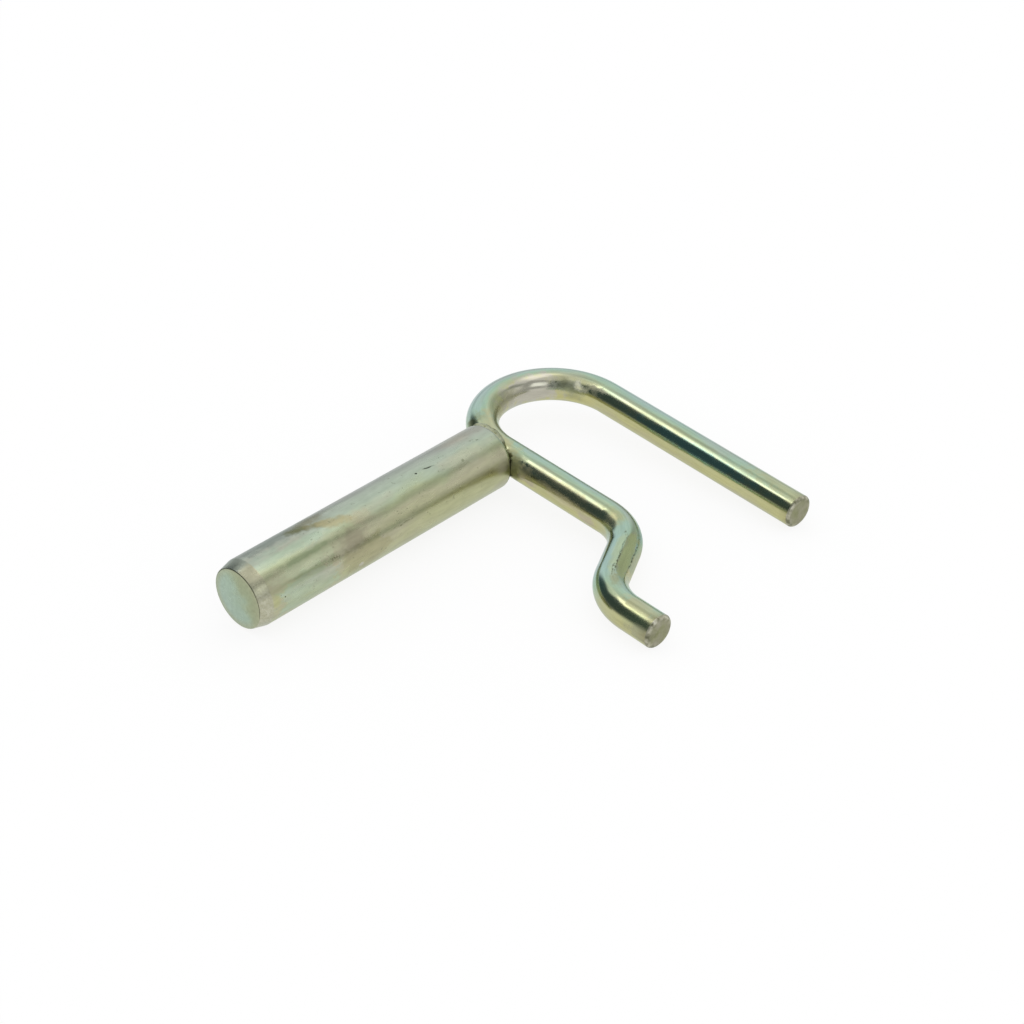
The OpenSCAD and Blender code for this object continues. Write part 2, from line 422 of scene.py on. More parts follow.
PIN_MARKS = (
    Mark(78.5, 98, 15, 7.5, soft=0.4, film=0.8),
    Mark(78, 53, 14, 2.4, (0.49, 0.545, 0.37), 0.7, soft=0.6),
    Mark(76, 40, 16.5, 1.4, (0.3, 0.355, 0.215), 0.85),
    Mark(77, 64.5, 15, 1.1, (0.3, 0.35, 0.21), 0.85),
    Mark(80, -25, 17, 6.3, (0.24, 0.272, 0.24), 0.8, soft=0.7),
    Mark(72, 22, 5.5, 2.6, (0.385, 0.48, 0.38), 0.7, soft=0.7),
    Mark(57.5, 92, 10, 6, (0.375, 0.362, 0.208), 0.75, soft=0.35),
    Mark(67.6, -14, 9.2, 4, (0.228, 0.216, 0.138), 0.8),
    # Painted highlight on the pin's upper side near the handle
    Mark(13, 28, 13, 3.6, (0.51, 0.545, 0.405), 0.65, soft=0.9),
    Mark(84, 5, 8.5, 1.6, (0.43, 0.53, 0.42), 0.5, soft=0.9),
    Mark(80, 60, 12, 1.2, (0.48, 0.545, 0.37), 0.5, soft=0.9),
    Mark(60.5, 58, 6.2, 5.2, (0.315, 0.285, 0.205), 0.65, soft=0.7),
    Mark(55.5, 30, 6.5, 3.6, (0.43, 0.39, 0.28), 0.6),
    Mark(72.5, -7, 5.8, 2.1, (0.15, 0.158, 0.08), 0.95, slant=-21),
    Mark(67.8, 4, 4.6, 2, (0.25, 0.24, 0.135), 0.9, slant=-21),
    Mark(62.6, 16, 7.2, 2.4, (0.415, 0.385, 0.225), 0.85, soft=0.7, slant=-21),
    Mark(79, 20, 15, 2.2, (0.35, 0.435, 0.33), 0.85),
    Mark(78.5, 72, 14, 1.3, (0.365, 0.44, 0.285), 0.6, soft=0.9),
    Mark(90.2, 84, 1.9, 2.4, (0.45, 0.46, 0.24), 0.8, soft=0.7),
    Mark(3.4, 54, 4, 2.6, (0.34, 0.325, 0.23), 0.65, soft=0.9),
    Mark(3.6, 77, 4.6, 3.4, (0.52, 0.49, 0.38), 0.7, soft=0.9, haze=0.26),
    Mark(44, 75, 6.2, 0.34, (0.18, 0.18, 0.11), 0.8, relief=-0.6, broken=True),
    Mark(45.2, 79, 5, 0.34, (0.52, 0.51, 0.38), 0.7, broken=True),
    Mark(68.6, 68, 3, 0.7, (0.19, 0.19, 0.11), 0.8, broken=True),
    Mark(59.6, 107, 1.2, 0.9, (0.56, 0.545, 0.47), 0.8, soft=0.6, haze=0.15),
    Mark(30.9, 12.5, 0.42, 0.38, (0.03, 0.035, 0.025), 0.95, soft=0.5, relief=-1),
    Mark(26.2, 14, 2.5, 0.36, (0.04, 0.045, 0.03), 0.95, slant=-12, relief=-1),
    Mark(7, 13, 2.4, 0.26, (0.13, 0.145, 0.105), 0.8, soft=0.9, slant=-8, broken=True),
    Mark(8, 9, 1.8, 0.22, (0.16, 0.175, 0.13), 0.7, soft=0.9, slant=-8, broken=True),
    Mark(15.7, 34, 0.7, 0.6, (0.24, 0.26, 0.165), 0.75),
    Mark(87.3, 82, 0.34, 0.32, (0.06, 0.065, 0.03), 0.95, soft=0.5, relief=-1),
)


class Plating(NamedTuple):
    """A bar's plating: its film and marks, and the noises that mottle, blush, dull, line and streak it."""

    film: tuple
    film_range: tuple
    marks: tuple
    patch_stretch: tuple
    mottle_scale: float
    mottle: float
    blush_scale: float
    blush_spread: tuple
    blush: float
    haze_scale: float
    haze: tuple
    line_stretch: tuple
    line_scale: float
    line_depth: float
    streak_stretch: tuple
    streak_scale: float


ROD_PLATING = Plating(
    film=ROD_FILM,
    film_range=(-0.55, 0.65),
    marks=ROD_MARKS,
    patch_stretch=(0.25, 1.0, 1.0),
    mottle_scale=260.0,
    mottle=0.14,
    blush_scale=190.0,
    blush_spread=(0.52, 0.72),
    blush=0.5,
    haze_scale=420.0,
    haze=(0.12, 0.20),
    line_stretch=(0.03, 1.0, 1.0),
    line_scale=2600.0,
    line_depth=0.12,
    streak_stretch=(0.12, 1.0, 1.0),
    streak_scale=1100.0,
)
PIN_PLATING = Plating(
    film=PIN_FILM,
    film_range=(-1.0, 1.0),
    marks=PIN_MARKS,
    patch_stretch=(1.0, 0.35, 1.0),
    mottle_scale=150.0,
    mottle=0.18,
    blush_scale=130.0,
    blush_spread=(0.50, 0.70),
    blush=0.6,
    haze_scale=320.0,
    haze=(0.25, 0.34),
    line_stretch=(1.0, 0.04, 1.0),
    line_scale=2200.0,
    line_depth=0.3,
    streak_stretch=(1.0, 0.2, 1.0),
    streak_scale=900.0,
)
MM = 0.001
# Between which values most of a noise lies
NOISE_SPREAD = (0.3, 0.7)
STREAK_RANGE = (0.90, 1.08)
GRAIN_DEPTH = 0.0001
BAR_GRAIN, WELD_GRAIN = 0.25, 0.3
# How far the edges of marks wander, and how much they fray
WANDER_SCALE, WANDER = 420.0, 0.0013
FRAY_SCALE, FRAY = 330.0, 0.35
GAP_SCALE, GAP_SPREAD = 1300.0, (0.42, 0.56)
# The rod's sawn ends: distances from the end are in bevels, the sector of the painted glint is in degrees
SAWN_MOTTLE_SCALE, SAWN_MOTTLE_SPREAD = 620.0, (0.36, 0.64)
SAWN_CLOUD_SCALE = 300.0
BROWN_BEVELS, EDGE_BEVELS, FACE_BEVELS = (5.0, 1.5), (1.15, 0.95), (0.12, 0.02)
BROWN_SHARE, BROWN_HAZE, EDGE_HAZE = 0.6, 0.12, 0.24
GLINT_SECTOR = (8.0, 72.0, 24.0)
# Where the rim of a bar's face starts and is full, as shares of the radius
RIM_SPAN = (0.66, 0.84)
SAWN_RIM, TIP_RIM = 0.7, 0.65
# The pin's pits, its lead-in and its tip, with sectors in degrees
PIT_SCALE, PIT_SPREAD, PIT_SHARE = 1050.0, (0.70, 0.76), 0.4
SPECKLE_SCALE, SPECKLE_SPREAD = 1500.0, (0.35, 0.65)
LEAD_BLUR = 0.00015
LEAD_DULL_SECTOR, LEAD_DULL = (0.0, 66.0, 14.0), 0.75
LEAD_SHADE_SECTOR = (-75.0, 14.0, 16.0)
TURNED_RING_SCALE = 9000.0
TIP_FACE_DEPTHS = (0.00002, 0.00006)
TIP_SIDE = (0.885, 0.0, 0.465)
TIP_CLOUD_SCALE, TIP_CLOUD = 240.0, 0.16
BURR_SHADE_SECTOR, BURR_SHADE_SPAN = (-70.0, 115.0, 25.0), (0.868, 0.880)
# Painted shade in the gap at the weld: its reach from the pin's end face, its band of heights there, and
# where it starts along the weld
GAP_SHADE_REACH, GAP_SHADE_BAND, GAP_SHADE_HAZE = (0.0011, 0.0005), (-0.0062, 0.0040, 0.0018), 0.3
WELD_END_SHADE = (0.0042, 0.0056)
WELD_MOTTLE_SCALE, WELD_GRAIN_SCALE = 700.0, 1500.0
WELD_HAZE = (0.52, 0.36)
WHITE = (1.0, 1.0, 1.0, 1.0)


def plated_metal(name, edge_tint):
    """A new material with a bare metal shader, and the graph that dresses it."""
    material = bpy.data.materials.new(name)
    material.use_nodes = True
    shader = material.node_tree.nodes["Principled BSDF"]
    shader.inputs["Metallic"].default_value = 1.0
    shader.inputs["Specular Tint"].default_value = opaque(edge_tint)
    return material, Graph(material.node_tree), shader


def film_and_reflection(graph, patches, plating):
    """How thin the plating's film is: by the side that it lies on, with mottling; the colour by side is
    partly a painted reflection.
    """
    normal = graph.add("ShaderNodeTexCoord").outputs["Normal"]
    side = graph.vector("DOT_PRODUCT", normal, FILM_AND_REFLECTION_SIDE)
    mottling = graph.noise(patches, plating.mottle_scale, 4.0, 0.55)
    return graph.plus(side, graph.remap(mottling, 0.25, 0.75, -plating.mottle, plating.mottle))


def unrolled(graph, along, turn, radius):
    """A bar's skin laid flat, with edges that wander a little."""
    skin = graph.combine(along, graph.times(turn, radius), 0.0)
    noise = graph.add("ShaderNodeTexNoise", {"Vector": skin, "Scale": WANDER_SCALE, "Detail": 3.0})
    wander = graph.vector("SUBTRACT", noise.outputs["Color"], (0.5, 0.5, 0.5))
    return graph.vector("ADD", skin, graph.scaled(wander, WANDER))


def mark_masks(graph, skin, radius, marks):
    """How strongly each mark shows at a point of the skin."""
    gaps = graph.remap(graph.noise(skin, GAP_SCALE, 3.0), *GAP_SPREAD)
    fray = graph.remap(graph.noise(skin, FRAY_SCALE, 4.0, 0.6), 0.25, 0.75, -FRAY, FRAY)
    masks = []
    for mark in marks:
        inputs = {
            "Vector": skin,
            "Location": (mark.along * MM, math.radians(mark.degrees_round) * radius, 0.0),
            "Rotation": (0.0, 0.0, math.radians(mark.slant)),
            "Scale": (mark.half_length * MM, mark.half_width * MM, 1.0),
        }
        local = graph.add("ShaderNodeMapping", inputs, vector_type="TEXTURE").outputs[0]
        reach = graph.plus(graph.vector("LENGTH", local), fray)
        mask = graph.remap(reach, 1.0 - mark.soft, 1.0, 1.0, 0.0, "SMOOTHSTEP")
        masks.append(graph.times(mask, gaps) if mark.broken else mask)
    return masks


def marked(graph, value, marks, masks, effect):
    """Adds what the marks do to the film, the haze or the relief of a bar."""
    for mark, mask in zip(marks, masks):
        amount = getattr(mark, effect)
        if amount:
            value = graph.raised(value, mask, amount)
    return value


def stains_and_painted_light(graph, tone, marks, masks):
    """Lays the colours of the marks over a bar's own colour."""
    for mark, mask in zip(marks, masks):
        if mark.colour:
            tone = graph.mixed(graph.times(mask, mark.strength), tone, mark.colour)
    return tone


def film_tone(graph, finish, film, film_range, stops):
    """The colour of a film by how thin it is."""
    shades = [(position, getattr(finish, name)) for position, name in stops]
    return graph.ramp(graph.remap(film, *film_range), shades)


def plated_skin(graph, finish, plating, bar, along, turn, radius):
    """A plated bar's colour, haze and grain, with its marks on them."""
    masks = mark_masks(graph, unrolled(graph, along, turn, radius), radius, plating.marks)
    patches = graph.vector("MULTIPLY", bar, plating.patch_stretch)
    film = marked(graph, film_and_reflection(graph, patches, plating), plating.marks, masks, "film")
    tone = film_tone(graph, finish, film, plating.film_range, plating.film)
    blush = graph.noise(patches, plating.blush_scale, 3.0)
    blush = graph.remap(blush, *plating.blush_spread, 0.0, plating.blush)
    tone = stains_and_painted_light(graph, graph.mixed(blush, tone, finish.blush), plating.marks, masks)
    haze = graph.remap(graph.noise(patches, plating.haze_scale, 4.0), *NOISE_SPREAD, *plating.haze)
    gloss = marked(graph, haze, plating.marks, masks, "haze")
    lines = graph.noise(graph.vector("MULTIPLY", bar, plating.line_stretch), plating.line_scale)
    grain = marked(graph, graph.times(lines, plating.line_depth), plating.marks, masks, "relief")
    return tone, gloss, grain


def link_shader(graph, shader, tone, gloss, grain, strength):
    """Gives a shader its colour, its haze and its grain."""
    graph.feed(shader.inputs["Base Color"], tone)
    graph.feed(shader.inputs["Roughness"], gloss)
    graph.feed(shader.inputs["Normal"], graph.bump(grain, strength, GRAIN_DEPTH))


def streaked(graph, plating, bar, tone):
    """A bar's colour with the fine streaks that drawing or rolling left."""
    stretched = graph.vector("MULTIPLY", bar, plating.streak_stretch)
    streaks = graph.noise(stretched, plating.streak_scale, 4.0, 0.6)
    return graph.scaled(tone, graph.remap(streaks, *NOISE_SPREAD, *STREAK_RANGE))


def bright_zinc(rod, finish):
    """The handle's bright plating, on coordinates that follow the rod as if it were straight."""
    material, graph, shader = plated_metal("zinc_bright", finish.edge_tint)
    bar = graph.add("ShaderNodeAttribute", attribute_name="bar").outputs["Vector"]
    along, aside, rise = graph.split(bar)
    turn = graph.math("ARCTAN2", graph.times(aside, -1.0), rise)
    radius = rod.rod_diameter / 2
    tone, gloss, grain = plated_skin(graph, finish, ROD_PLATING, bar, along, turn, radius)
    mottle = graph.remap(graph.noise(bar, SAWN_MOTTLE_SCALE, 3.0), *SAWN_MOTTLE_SPREAD)
    clouds = graph.remap(graph.noise(bar, SAWN_CLOUD_SCALE), *NOISE_SPREAD)

    # How far the nearer sawn end is, in bevels
    start = -rod.long_leg - rod.loop_radius * rod.loop_angle
    joggle = 2 * rod.joggle_radius * rod.joggle_angle + rod.joggle_straight
    middle = (start + rod.short_leg + joggle + rod.tail) / 2
    from_middle = graph.math("ABSOLUTE", graph.minus(along, middle))
    to_end = graph.over(graph.minus(middle - start, from_middle), rod.sawn_bevel)

    # The sawn ends are duller, with a mottled edge round them, a painted highlight where the key light
    # catches the top of that edge, and a browner stretch before them
    brown = graph.remap(to_end, *BROWN_BEVELS, 0.0, BROWN_SHARE)
    tone = graph.mixed(graph.times(brown, clouds), tone, finish.end_brown)
    edge = graph.remap(to_end, *EDGE_BEVELS)
    mottled = graph.mixed(mottle, finish.edge_dark, finish.edge_light)
    on_top = graph.sector(graph.math("ABSOLUTE", turn), *GLINT_SECTOR)
    glinting = graph.times(on_top, graph.times(mottle, clouds))
    tone = graph.mixed(edge, tone, graph.mixed(glinting, mottled, finish.edge_glint))
    out = graph.over(graph.vector("LENGTH", graph.combine(aside, rise, 0.0)), radius)
    face = graph.mixed(clouds, finish.sawn_dark, finish.sawn_light)
    face = graph.mixed(graph.remap(out, *RIM_SPAN, 0.0, SAWN_RIM), face, mottled)
    tone = graph.mixed(graph.remap(to_end, *FACE_BEVELS), tone, face)
    gloss = graph.raised(graph.raised(gloss, edge, EDGE_HAZE), brown, BROWN_HAZE)
    grain = graph.raised(grain, edge, mottle)
    link_shader(graph, shader, streaked(graph, ROD_PLATING, bar, tone), gloss, grain, BAR_GRAIN)
    return material


def satin_zinc(pin, finish):
    """The pin's duller plating, with its beige lead-in, its pale tip and soot under the handle."""
    material, graph, shader = plated_metal("zinc_satin", finish.edge_tint)
    spot = graph.add("ShaderNodeTexCoord").outputs["Object"]
    x, y, z = graph.split(spot)
    along = graph.minus(pin.end_face, y)
    turn = graph.math("ARCTAN2", x, z)
    tone, gloss, grain = plated_skin(graph, finish, PIN_PLATING, spot, along, turn, pin.radius)
    pits = graph.remap(graph.noise(spot, PIT_SCALE, 1.0), *PIT_SPREAD)
    tone = graph.mixed(graph.times(pits, PIT_SHARE), tone, finish.pit)
    grain = graph.minus(grain, pits)

    # The lead-in is turned, so it is duller and more even; it is darker above and darker again on its upper
    # left
    edge = pin.tip + pin.lead_length
    lead = graph.remap(y, edge - LEAD_BLUR, edge + LEAD_BLUR, 1.0, 0.0)
    speckle = graph.remap(graph.noise(spot, SPECKLE_SCALE, 3.0), *SPECKLE_SPREAD)
    beige = graph.mixed(speckle, finish.lead_dark, finish.lead_light)
    dulled = graph.times(graph.sector(turn, *LEAD_DULL_SECTOR), LEAD_DULL)
    beige = graph.mixed(dulled, beige, finish.lead_dark)
    beige = graph.mixed(graph.sector(turn, *LEAD_SHADE_SECTOR), beige, finish.lead_shade)
    tone = graph.mixed(lead, tone, beige)
    rings = graph.noise(graph.combine(0.0, y, 0.0), TURNED_RING_SCALE, 1.0)
    grain = graph.raised(grain, lead, rings)

    # The tip's face is teal on the left, olive on the right and round its edge, with a dark burr and
    # painted shade along its upper edge
    near, far = (pin.tip + depth for depth in TIP_FACE_DEPTHS)
    face = graph.remap(y, near, far, 1.0, 0.0)
    across = graph.over(graph.vector("DOT_PRODUCT", spot, TIP_SIDE), pin.radius)
    out = graph.over(graph.vector("LENGTH", graph.combine(x, 0.0, z)), pin.radius)
    clouds = graph.remap(graph.noise(spot, TIP_CLOUD_SCALE, 4.0), *NOISE_SPREAD, -TIP_CLOUD, TIP_CLOUD)
    disc = film_tone(graph, finish, graph.plus(across, clouds), TIP_FILM_RANGE, TIP_FILM)
    disc = graph.mixed(graph.remap(out, *RIM_SPAN, 0.0, TIP_RIM), disc, finish.tip_ring)
    burr_and_shade = graph.times(graph.sector(turn, *BURR_SHADE_SECTOR), graph.remap(out, *BURR_SHADE_SPAN))
    tone = graph.mixed(face, tone, graph.mixed(burr_and_shade, disc, finish.burr_and_shade))

    # Painted shade lies in the corner between the end face and the rod
    gap_shade = graph.times(graph.remap(along, *GAP_SHADE_REACH), graph.window(z, *GAP_SHADE_BAND))
    tone = graph.mixed(gap_shade, tone, finish.gap_shade)
    gloss = graph.raised(gloss, gap_shade, GAP_SHADE_HAZE)
    link_shader(graph, shader, streaked(graph, PIN_PLATING, spot, tone), gloss, grain, BAR_GRAIN)
    return material


def weld_zinc(finish):
    """The plating over the weld's rough beads, with painted shade where they run out into the gap."""
    material, graph, shader = plated_metal("zinc_weld", finish.edge_tint)
    spot = graph.add("ShaderNodeTexCoord").outputs["Object"]
    mottle = graph.noise(spot, WELD_MOTTLE_SCALE, 4.0)
    tone = film_tone(graph, finish, mottle, (0.0, 1.0), WELD_MOTTLE)
    # Painted shade where the beads run out into the gap
    shaded_end = graph.remap(graph.split(spot)[0], *WELD_END_SHADE)
    tone = graph.mixed(shaded_end, tone, finish.gap_shade)
    gloss = graph.remap(mottle, *NOISE_SPREAD, *WELD_HAZE)
    link_shader(graph, shader, tone, gloss, graph.noise(spot, WELD_GRAIN_SCALE, 3.0), WELD_GRAIN)
    return material


def bare_graph(owner):
    """The graph of a new material or world, without the nodes that it starts with."""
    owner.use_nodes = True
    owner.node_tree.nodes.clear()
    return Graph(owner.node_tree)


def show_mix(graph, output, factor, first, second):
    """Ends a graph in a mix of two shaders."""
    mix = graph.add("ShaderNodeMixShader", {0: factor, 1: first.outputs[0], 2: second.outputs[0]})
    graph.add(output, {"Surface": mix.outputs[0]})


def seen_directly(graph):
    """1 for what the camera sees itself, in a reflection or through a clear thing."""
    path = graph.add("ShaderNodeLightPath").outputs
    either = graph.math("MAXIMUM", path["Is Camera Ray"], path["Is Glossy Ray"])
    return graph.math("MAXIMUM", either, path["Is Transmission Ray"])


def table_white(glow):
    """A white table that keeps the part's shadow and shows white to the camera and in the metal."""
    material = bpy.data.materials.new("table_white")
    graph = bare_graph(material)
    lit = graph.add("ShaderNodeBsdfDiffuse", {"Color": WHITE})
    plain = graph.add("ShaderNodeEmission", {"Color": WHITE, "Strength": 1.0})
    show_mix(graph, "ShaderNodeOutputMaterial", graph.times(seen_directly(graph), glow), lit, plain)
    return material


def card_light(name, level):
    """A card that the metal mirrors: it glows at one level and fades out towards its edges."""
    material = bpy.data.materials.new(name)
    graph = bare_graph(material)
    shade = graph.add("ShaderNodeAttribute", attribute_name="shade").outputs["Fac"]
    clear = graph.add("ShaderNodeBsdfTransparent")
    glow = graph.add("ShaderNodeEmission", {"Color": opaque(level), "Strength": 1.0})
    show_mix(graph, "ShaderNodeOutputMaterial", shade, clear, glow)
    return material


def room_light(ambient):
    """A white room: plain white where it is seen, and a soft ambient light on everything else."""
    world = bpy.data.worlds.new("white_room")
    graph = bare_graph(world)
    light = graph.add("ShaderNodeBackground", {"Color": WHITE, "Strength": ambient})
    white = graph.add("ShaderNodeBackground", {"Color": WHITE, "Strength": 1.0})
    show_mix(graph, "ShaderNodeOutputWorld", seen_directly(graph), light, white)
    return world


def new_object(name, data):
    """An object in the scene, unturned at the origin."""
    piece = bpy.data.objects.new(name, data)
    bpy.context.scene.collection.objects.link(piece)
    return piece


def as_plain_mesh(piece):
    """Turns what the piece's modifiers make into its own mesh."""
    graph = bpy.context.evaluated_depsgraph_get()
    mesh = bpy.data.meshes.new_from_object(piece.evaluated_get(graph), depsgraph=graph)
    piece.modifiers.clear()
    piece.data = mesh
    mesh.name = piece.name


def shade_by_angle(mesh, limit):
    """Shades a mesh smooth, apart from edges that turn by more than the limit."""
    shape = bmesh.new()
    shape.from_mesh(mesh)
    for face in shape.faces:
        face.smooth = True
    for edge in shape.edges:
        edge.smooth = len(edge.link_faces) == 2 and edge.calc_face_angle() < limit
    shape.to_mesh(mesh)
    shape.free()


def dress(piece, node):
    """Hangs a finished piece on the body in place of its solid."""
    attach(piece, BODY)
    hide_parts(node)


# The kind of socket that takes a value
SOCKETS = {
    float: "NodeSocketFloat",
    int: "NodeSocketInt",
    tuple: "NodeSocketVector",
    bpy.types.Material: "NodeSocketMaterial",
}


def as_inputs(settings, names):
    """Settings by the names that they have as inputs of a node tree."""
    return {name.replace("_", " ").title(): getattr(settings, name) for name in names}


def new_tree(name, values):
    """A node tree with an input for each value, which gives one geometry."""
    tree = bpy.data.node_groups.new(name, "GeometryNodeTree")
    for label, value in values.items():
        tree.interface.new_socket(label, in_out="INPUT", socket_type=SOCKETS[type(value)])
    tree.interface.new_socket("Geometry", in_out="OUTPUT", socket_type="NodeSocketGeometry")
    return tree


def finish_tree(graph, size, shape):
    """Ends a tree: the shape is tipped as the handle lies, realized and given its material."""
    lie = graph.combine(0.0, size["Lie"], 0.0)
    shape = graph.geometry("Transform", {"Geometry": shape, "Rotation": lie})
    shape = graph.geometry("RealizeInstances", {"Geometry": shape})
    shape = graph.geometry("SetMaterial", {"Geometry": shape, "Material": size["Material"]})
    graph.add("NodeGroupOutput", {"Geometry": shape})


def node_modifier(piece, tree, values):
    """Adds a node tree to a piece, with its inputs set by the sockets' identifiers."""
    modifier = piece.modifiers.new(tree.name, "NODES")
    modifier.node_group = tree
    for item in tree.interface.items_tree:
        if item.in_out == "INPUT":
            modifier[item.identifier] = values[item.name]


# The handle's settings that its node tree takes
ROD_SIZES = (
    "rod_diameter", "sawn_bevel", "long_leg", "loop_radius", "loop_angle", "short_leg",
    "joggle_radius", "joggle_angle", "joggle_straight", "tail", "lie",
    "flat_depth", "flat_turn", "flat_lead", "flat_run", "unevenness", "thinning", "sides",
)
# What each point of the path hands to the skin that is swept along it
PATH_FIELDS = {"along": "FLOAT", "centre": "FLOAT_VECTOR", "ahead": "FLOAT_VECTOR"}
RINGS_PER_BEVEL = 2.0
WAVE_STRETCH, WAVE_SCALE = (0.5, 1.0, 1.0), 110.0
ROD_CREASE = math.radians(9.0)


def bent_rod_tree(values):
    """A rod that follows its bending schedule, from the long leg's end to the tail's."""
    tree = new_tree("bent_rod", values)
    graph = Graph(tree)
    size = graph.add("NodeGroupInput").outputs

    # Stations along the rod, measured from the start of the loop
    loop = graph.times(size["Loop Radius"], size["Loop Angle"])
    loop_end = graph.times(loop, -1.0)
    joggle = graph.times(size["Joggle Radius"], size["Joggle Angle"])
    before = graph.plus(size["Long Leg"], loop)
    straight = graph.plus(size["Short Leg"], joggle)
    second_bend = graph.plus(straight, size["Joggle Straight"])
    tail = graph.plus(second_bend, joggle)
    after = graph.plus(tail, size["Tail"])
    total = graph.plus(before, after)
    steps = graph.math("ROUND", graph.over(total, graph.over(size["Sawn Bevel"], RINGS_PER_BEVEL)))
    step = graph.over(total, steps)
    along = graph.minus(graph.times(graph.geometry("InputIndex"), step), before)

    # The heading of each step, and the path as the running sum of the steps
    middle = graph.minus(along, graph.over(step, 2.0))
    in_loop = graph.remap(middle, loop_end, 0.0, graph.times(size["Loop Angle"], -1.0), 0.0)
    right_turn = graph.times(size["Joggle Angle"], -1.0)
    in_first = graph.remap(middle, size["Short Leg"], straight, 0.0, right_turn)
    in_second = graph.remap(middle, second_bend, tail, 0.0, size["Joggle Angle"])
    heading = graph.plus(graph.plus(size["Heading"], in_loop), graph.plus(in_first, in_second))
    ahead = graph.combine(graph.math("COSINE", heading), graph.math("SINE", heading), 0.0)
    moves = {"Value": graph.scaled(ahead, step)}
    sums = graph.add("GeometryNodeAccumulateField", moves, data_type="FLOAT_VECTOR")
    line = graph.geometry("CurvePrimitiveLine", {"End": (1.0, 0.0, 0.0)})
    line = graph.geometry("ResampleCurve", {"Curve": line, "Count": graph.plus(steps, 1.0)})
    path = graph.geometry("SetPosition", {"Geometry": line, "Position": sums.outputs["Leading"]})
    start = graph.add("GeometryNodeSampleCurve", {"Curves": path, "Length": before}, mode="LENGTH")
    move = graph.vector("SUBTRACT", size["Loop Point"], start.outputs["Position"])
    path = graph.geometry("Transform", {"Geometry": path, "Translation": move})

    # The section is swept along the path, and tapers at the sawn ends
    known = {"along": along}
    known["centre"] = graph.geometry("InputPosition")
    known["ahead"] = graph.geometry("InputTangent")
    for name, kind in PATH_FIELDS.items():
        field = {"Geometry": path, "Name": name, "Value": known[name]}
        path = graph.geometry("StoreNamedAttribute", field, data_type=kind)
    radius = graph.over(size["Rod Diameter"], 2.0)
    section = graph.geometry("CurvePrimitiveCircle", {"Resolution": size["Sides"], "Radius": radius})
    to_end = graph.math("MINIMUM", graph.plus(along, before), graph.minus(after, along))
    edge = graph.minus(1.0, graph.over(to_end, size["Sawn Bevel"]))
    edge = graph.math("POWER", graph.math("MAXIMUM", edge, 0.0), 2.0)
    taper = graph.minus(1.0, graph.over(graph.times(edge, size["Sawn Bevel"]), radius))
    sweep = {"Curve": path, "Profile Curve": section, "Scale": taper, "Fill Caps": True}
    skin = graph.geometry("CurveToMesh", sweep)

    # The skin's coordinates as on the straight rod: along it, to its left and up
    stored = {}
    for name, kind in PATH_FIELDS.items():
        node = graph.add("GeometryNodeInputNamedAttribute", {"Name": name}, data_type=kind)
        stored[name] = node.outputs["Attribute"]
    up = (0.0, 0.0, 1.0)
    out = graph.vector("SUBTRACT", graph.geometry("InputPosition"), stored["centre"])
    left = graph.vector("CROSS_PRODUCT", up, stored["ahead"])
    aside = graph.vector("DOT_PRODUCT", out, left)
    bar = graph.combine(stored["along"], aside, graph.vector("DOT_PRODUCT", out, up))
    field = {"Geometry": skin, "Name": "bar", "Value": bar}
    skin = graph.geometry("StoreNamedAttribute", field, data_type="FLOAT_VECTOR")

    # The press flat takes the skin down to a plane that runs out at both ends
    sine = graph.math("SINE", size["Flat Turn"])
    cosine = graph.math("COSINE", size["Flat Turn"])
    facing = graph.vector("ADD", graph.scaled(left, sine), graph.scaled(up, cosine))
    flat_from = graph.minus(straight, size["Flat Lead"])
    flat_to = graph.plus(second_bend, size["Flat Run"])
    pressing = graph.remap(stored["along"], flat_from, straight, kind="SMOOTHSTEP")
    lifting = graph.remap(stored["along"], second_bend, flat_to, 1.0, 0.0, "SMOOTHSTEP")
    level = graph.minus(radius, graph.times(graph.times(pressing, lifting), size["Flat Depth"]))
    height = graph.vector("DOT_PRODUCT", out, facing)
    cut = graph.math("MINIMUM", graph.minus(level, height), 0.0)

    # Slow waves and the drawn-down bends sink the skin towards the path
    waves = graph.noise(graph.vector("MULTIPLY", bar, WAVE_STRETCH), WAVE_SCALE, 1.0)
    sunk = graph.times(waves, size["Unevenness"])
    for start, end in ((loop_end, 0.0), (size["Short Leg"], straight), (second_bend, tail)):
        bent = graph.window(stored["along"], start, end, size["Sawn Bevel"])
        sunk = graph.raised(sunk, bent, size["Thinning"])
    inward = graph.scaled(graph.vector("NORMALIZE", out), graph.times(sunk, -1.0))
    offset = graph.vector("ADD", graph.scaled(facing, cut), inward)
    finish_tree(graph, size, graph.geometry("SetPosition", {"Geometry": skin, "Offset": offset}))
    return tree


class LYNCHPIN_OT_handle(bpy.types.Operator):
    """Bends the handle's rod along its schedule"""

    bl_idname = "lynchpin.handle"
    bl_label = "Handle"

    def execute(self, context):
        rod = context.scene.lynch_handle
        rod_line = context.scene.lynch_pin.end_face + rod.rod_diameter / 2 - rod.seat_depth
        values = as_inputs(rod, ROD_SIZES)
        values["Heading"] = -rod.lean
        values["Loop Point"] = (
            rod.loop_start * math.cos(rod.lean),
            rod_line - rod.loop_start * math.sin(rod.lean),
            0.0,
        )
        values["Material"] = bright_zinc(rod, context.scene.lynch_finish)
        piece = new_object("handle_rod", bpy.data.meshes.new("handle_rod"))
        node_modifier(piece, bent_rod_tree(values), values)
        as_plain_mesh(piece)
        for name in PATH_FIELDS:
            piece.data.attributes.remove(piece.data.attributes[name])
        shade_by_angle(piece.data, ROD_CREASE)
        dress(piece, "handle")
        return {"FINISHED"}


